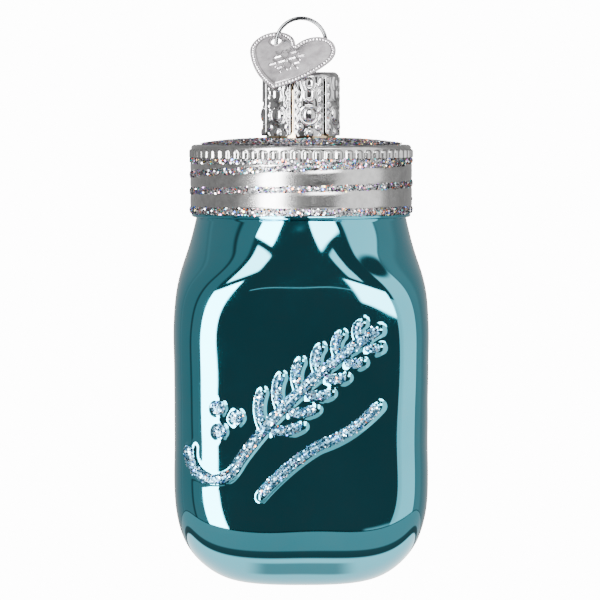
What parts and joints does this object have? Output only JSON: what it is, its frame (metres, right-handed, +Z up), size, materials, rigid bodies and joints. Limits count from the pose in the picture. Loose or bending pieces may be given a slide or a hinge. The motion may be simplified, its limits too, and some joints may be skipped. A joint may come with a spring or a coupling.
{
  "type": "hanging jar ornament",
  "caption": "Hollow blown-glass ornament shaped like a preserving jar with a silvered screw lid, a crown cap, a wire hanging loop and a small heart tag.",
  "frame": {"origin": "centre of the jar's flat base", "axes": "+Z up through the lid, neck and hanging loop; the face with the raised sprig looks along -Y; +X to the right of a viewer who faces it"},
  "size_m": [0.0448, 0.0456, 0.0998],
  "materials": {
    "teal_mirror_glass": "gloss",
    "silver_lacquer": "satin",
    "silver_glitter": "glitter",
    "ice_blue_glitter": "glitter",
    "cap_sheet_metal": "satin",
    "spring_wire": "gloss",
    "tag_metal": "satin"
  },
  "bodies": {
    "glass": {"glass_body": "teal_mirror_glass", "lid_silver_coat": "silver_lacquer", "hem_glitter_band": "silver_glitter", "rim_glitter_band": "silver_glitter", "thread_glitter_band": "silver_glitter", "lid_top_glitter": "silver_glitter", "sprig_stem_glitter": "ice_blue_glitter", "sprig_needle_glitter": "ice_blue_glitter", "sprig_berry_glitter": "ice_blue_glitter", "underline_glitter": "ice_blue_glitter"},
    "cap": {"ornament_cap": "cap_sheet_metal"},
    "hanger": {"hanger_wire": "spring_wire"},
    "tag": {"heart_tag": "tag_metal"}
  },
  "joints": [
    {"name": "cap_lift", "type": "slide", "parent": "glass", "child": "cap", "axis": [0, 0, 1], "range_m": [0, 0.014]},
    {"name": "hanger_slide", "type": "slide", "parent": "cap", "child": "hanger", "axis": [0, 0, 1], "range_m": [0, 0.0015]},
    {"name": "tag_swing", "type": "hinge", "parent": "hanger", "child": "tag", "pos_m": [-0.0044, 0, 0.09535], "axis": [0, 0, 1], "range_deg": [-110, 0]}
  ]
}
